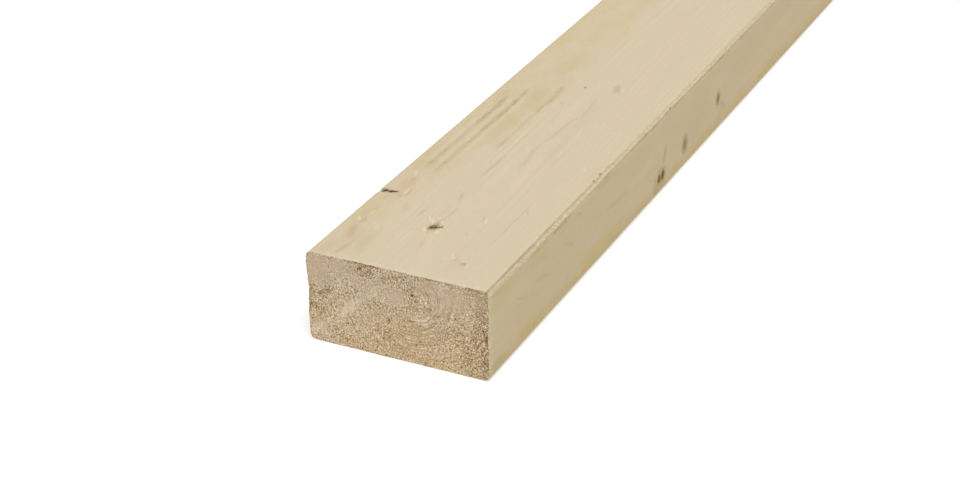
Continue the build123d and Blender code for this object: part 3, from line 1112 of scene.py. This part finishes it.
def sawn_end_grain():
    """The two rough sawn ends: short fibre tips and pits, partly painted highlight and shade, patches of
    tone, and arcs of growth rings.
    """
    web = Web("sawn_end_grain")
    crack = web.crack()
    radius, latewood = growth(web)

    # Grains of two sizes, short worm-like tips, and streaks that run round the pith
    grains = web.noise((0.5, 0.5, 0.5), 1, 0.6, seed=3)
    bumps = web.noise((1.0, 1.0, 1.0), 1, 0.5, seed=13)
    cells = web.cells(0.85)
    worms = 0.25 - abs(web.noise((0.9, 0.9, 0.9), 1, 0.4, seed=14))
    from_pith = web.vector(0.0, web.across - PITH_ACROSS, web.up - PITH_UP)
    outward = web.vector_math("NORMALIZE", 0, from_pith)
    turning = web.vector_math("MULTIPLY", 0, outward, (0.0, 2.6, 2.6))
    arc_place = web.vector_math("ADD", 0, turning, web.vector(radius / 0.75, 0.0, 0.0))
    streaks = web.noise((1, 1, 1), 1, 0.6, seed=2, place=arc_place)
    clumps = web.noise((3.0, 3.0, 3.0), 2, seed=4)
    tone = web.noise((20, 8, 7), 2, seed=5)

    # Patches of the front end; the rear end has the same in mirror image
    face = web.vector(web.across + 1.6 * clumps + 0.6 * grains, web.up + 1.2 * bumps, 1.0)
    calm = web.marks(face, END_CALM)
    harsh = web.marks(face, END_ROUGH)
    amount = (0.9 + 0.55 * harsh) * (1 - calm)
    web.colour = web.mix(web.step(14.0, 32.0, web.up + 3.0 * tone), END_LOWER_TONE, END_UPPER_TONE)
    for listed, patch in (
        (END_OCHRE, END_OCHRE_TONE),
        (END_GREEN, END_GREEN_TONE),
        (END_PINK, END_PINK_TONE),
        (END_BAND, END_PALE),
        (END_DARKENED, END_BROWN),
    ):
        web.lay(0.8 * web.marks(face, listed), patch)
    web.colour = web.lighter(web.colour, 0.10 * tone + 0.06 * clumps)

    # Growth rings show as fine streaks near the pith, and as a few light arcs under it
    streaked = web.marks(face, STREAKS_SEEN)
    web.lay(latewood * (0.08 + 0.3 * streaked), END_RING)
    sideways = web.across - PITH_ACROSS
    upwards = web.up - PITH_UP
    true_radius = web.math("SQRT", sideways * sideways + upwards * upwards) + 0.5 * clumps

    def arc(ring_radius, half_width, strength):
        away = abs(true_radius - ring_radius)
        return web.step(half_width + 0.35, half_width - 0.2, away + 0.25 * grains, strength)

    arcs = web.largest(arc(*sizes) for sizes in END_ARCS) * web.marks(face, ARCS_SEEN)

    # Light tips and dark pits, the end grain's own speckle with painted highlight on the tips and painted
    # shade in the pits, and the broken line of painted shade along the top of the end
    texture = 1.0 * cells + 1.15 * grains + 0.4 * bumps + 0.75 * worms
    texture = (1 - 0.5 * streaked) * texture + (0.2 + 1.1 * streaked) * streaks
    rim_shade_place = web.vector(web.across + 0.5 * clumps, web.up + 0.6 * bumps + 0.4 * clumps, 1.0)
    rim = web.marks(rim_shade_place, END_RIM_SHADE)
    texture = texture - 1.1 * crack - 0.4 * rim + 0.35 * arcs
    light = web.step(0.0, 0.70, texture)
    dark = web.step(0.0, -0.70, texture)
    web.lay(0.5 * arcs, END_PALE)
    web.lay(0.8 * web.marks(face, PITH_RING), END_BROWN)
    web.lay(light * amount * (1 - 0.25 * harsh), FIBRE_TIP_AND_HIGHLIGHT)
    web.lay(web.math("MAXIMUM", dark * amount, 0.6 * rim), FIBRE_PIT_AND_SHADE)
    # Painted shade in the torn pits of the end, darker with their depth
    web.lay(web.step(0.3, 0.75, crack, 0.85), END_DARK_AND_PIT_SHADE)
    pith_place = web.vector(web.across + 0.4 * grains, web.up + 0.4 * bumps, 1.0)
    web.lay(web.marks(pith_place, PITH_DOT), END_DARK_AND_PIT_SHADE)

    roughness = 0.8 + 0.08 * grains
    height = (0.1 + amount) * (0.11 * grains + 0.09 * cells + 0.06 * bumps + 0.04 * streaks)
    return web.finish(roughness, height)


def add_floor():
    """Wide floor that keeps the plank's shadow, and that the camera sees as white."""
    bpy.ops.mesh.primitive_plane_add(size=FLOOR_SIZE)
    floor = bpy.context.object
    floor.name = "floor"
    material = bpy.data.materials.new("floor_white")
    tree = Tree(material)
    tree.nodes.clear()
    output = tree.nodes.new("ShaderNodeOutputMaterial")
    diffuse = tree.node("BsdfDiffuse", {"Color": (FLOOR_TONE, FLOOR_TONE, FLOOR_TONE, 1)})
    seen = tree.node("LightPath", output="Is Camera Ray")
    glow = tree.node("Emission", {"Strength": FLOOR_GLOW * seen})
    tree.join(tree.node("AddShader", {0: diffuse, 1: glow}), output.inputs["Surface"])
    floor.data.materials.append(material)


def add_light():
    """Even white surroundings and one large soft lamp."""
    world = bpy.data.worlds.new("world")
    bpy.context.scene.world = world
    tree = Tree(world)
    background = tree.nodes["Background"]
    background.inputs["Color"].default_value = (1, 1, 1, 1)
    seen = tree.node("LightPath", output="Is Camera Ray")
    strengths = {"Value": seen, "To Min": WORLD_LIGHT, "To Max": WORLD_SEEN}
    tree.join(tree.node("MapRange", strengths, "Result"), background.inputs["Strength"])
    lamp = bpy.data.lights.new("key", "SUN")
    lamp.energy = LAMP_ENERGY
    lamp.angle = LAMP_ANGLE
    key = bpy.data.objects.new("key", lamp)
    bpy.context.collection.objects.link(key)
    key.rotation_mode = "QUATERNION"
    key.rotation_quaternion = Vector(LAMP_WAY).to_track_quat("-Z", "Y")


def add_camera():
    """The photograph's camera."""
    turns = ((CAMERA_AZIMUTH, "Z"), (90 - CAMERA_ELEVATION, "X"), (CAMERA_ROLL, "Z"))
    azimuth, tilt, roll = (Matrix.Rotation(math.radians(turn), 3, axis) for turn, axis in turns)
    axes = azimuth @ tilt @ roll
    from_end = axes @ Vector((-END_SEEN_RIGHT, -END_SEEN_UP, END_SEEN_AHEAD))
    lens = bpy.data.cameras.new("camera")
    lens.sensor_width = 36
    lens.lens = CAMERA_LENS
    lens.clip_start = 0.01
    camera = bpy.data.objects.new("camera", lens)
    bpy.context.collection.objects.link(camera)
    camera.rotation_mode = "QUATERNION"
    camera.rotation_quaternion = axes.to_quaternion()
    camera.location = (Vector((SAWN_END, 0, 0)) + from_end) * MM
    bpy.context.scene.camera = camera


plank = add_plank()
plank.data.materials.append(planed_softwood())
plank.data.materials.append(sawn_end_grain())
add_floor()
add_light()
add_camera()
bpy.context.scene.view_settings.view_transform = "Standard"
